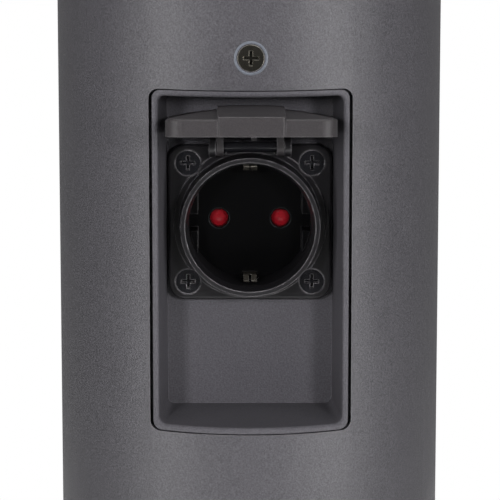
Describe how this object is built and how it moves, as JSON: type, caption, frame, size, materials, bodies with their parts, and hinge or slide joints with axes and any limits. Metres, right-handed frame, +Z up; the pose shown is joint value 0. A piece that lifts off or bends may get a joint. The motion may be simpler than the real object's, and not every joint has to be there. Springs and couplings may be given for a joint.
{
  "type": "garden socket post",
  "caption": "Round garden post with a niche that holds an earthed socket with a shutter and a hinged splash lid.",
  "frame": {"origin": "centre of the foot's underside, on the ground", "axes": "+Z up along the post, front and socket face towards -Y, +X to the right seen from the front"},
  "size_m": [0.16, 0.1622, 0.4],
  "materials": {
    "post_paint": "fine grained satin powder coat",
    "insert_plastic": "fine eroded moulding grain",
    "socket_plastic": "satin moulded",
    "shutter_red": "smooth moulded",
    "block_plastic": "smooth moulded",
    "seal_rubber": "smooth",
    "black_screws": "blackened steel",
    "contact_brass": "bright",
    "plated_steel": "zinc plated",
    "wire_brown": "smooth insulation",
    "wire_blue": "smooth insulation",
    "wire_green": "smooth insulation"
  },
  "bodies": {
    "post": {"post_tube": "post_paint", "top_cap": "post_paint", "cap_seal": "seal_rubber", "cap_screws": "black_screws", "foot_flange": "post_paint", "foot_spigot": "post_paint", "foot_screws": "black_screws", "niche_insert": "insert_plastic", "insert_screw": "black_screws", "insert_nut": "contact_brass", "flange_gasket": "seal_rubber", "socket_housing": "socket_plastic", "flange_screws": "black_screws", "thread_inserts": "contact_brass", "contact_plate": "socket_plastic", "shutter_spring": "plated_steel", "terminal_base": "socket_plastic", "carrier_screws": "plated_steel", "line_contact": "contact_brass", "neutral_contact": "contact_brass", "earth_contact": "plated_steel", "terminal_screws": "plated_steel", "hinge_pin": "black_screws", "terminal_bracket": "plated_steel", "bracket_screws": "plated_steel", "terminal_block": "block_plastic", "block_tubes": "contact_brass", "block_screws": "plated_steel", "block_fixings": "plated_steel", "cable_clamp": "block_plastic", "clamp_screws": "plated_steel", "line_wire": "wire_brown", "neutral_wire": "wire_blue", "earth_wire": "wire_green", "bond_lug": "plated_steel", "bond_screw": "plated_steel", "bond_wire": "wire_green"},
    "lid": {"lid": "socket_plastic", "lid_seal": "seal_rubber"},
    "shutter": {"shutter": "shutter_red"}
  },
  "joints": [
    {"name": "lid_hinge", "type": "hinge", "parent": "post", "child": "lid", "pos_m": [0, -0.0345, 0.3203], "axis": [1, 0, 0], "range_deg": [0, 95.5]},
    {"name": "shutter_turn", "type": "hinge", "parent": "post", "child": "shutter", "pos_m": [0, -0.0162, 0.2963], "axis": [0, -1, 0], "range_deg": [0, 42], "stiffness_Nm_per_rad": 0.004, "springref_deg": -17.19}
  ]
}
